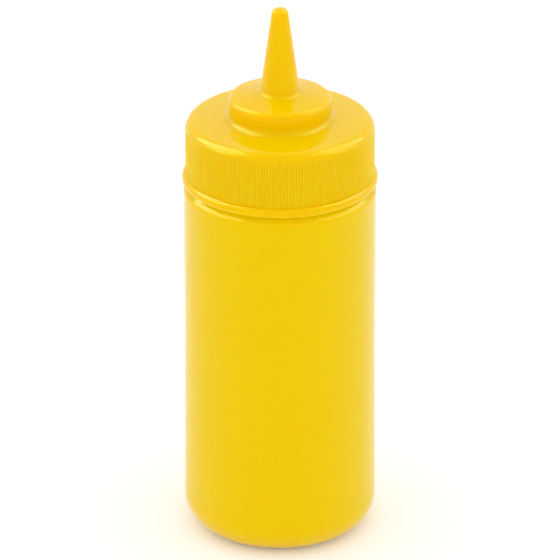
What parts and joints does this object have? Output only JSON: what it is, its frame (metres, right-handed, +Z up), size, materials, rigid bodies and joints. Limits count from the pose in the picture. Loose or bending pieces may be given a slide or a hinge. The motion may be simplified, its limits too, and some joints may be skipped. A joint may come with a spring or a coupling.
{
  "type": "squeeze bottle",
  "caption": "Wide-mouth squeeze bottle for sauces: a round waisted body with a rounded base, and a ribbed screw cap with a stepped boss and a tapered closed nozzle.",
  "frame": {"origin": "middle of the base, on the plane the bottle stands on", "axes": "+Z up along the bottle's axis to the nozzle's tip; X and Y across, all the same round the axis"},
  "size_m": [0.0729, 0.073, 0.2092],
  "materials": {
    "bottle_plastic": "satin blow-moulded polyethylene, opaque yellow",
    "cap_plastic": "satin injection-moulded polyethylene, opaque yellow"
  },
  "bodies": {
    "root": {"bottle": "bottle_plastic", "cap": "cap_plastic"}
  },
  "joints": []
}
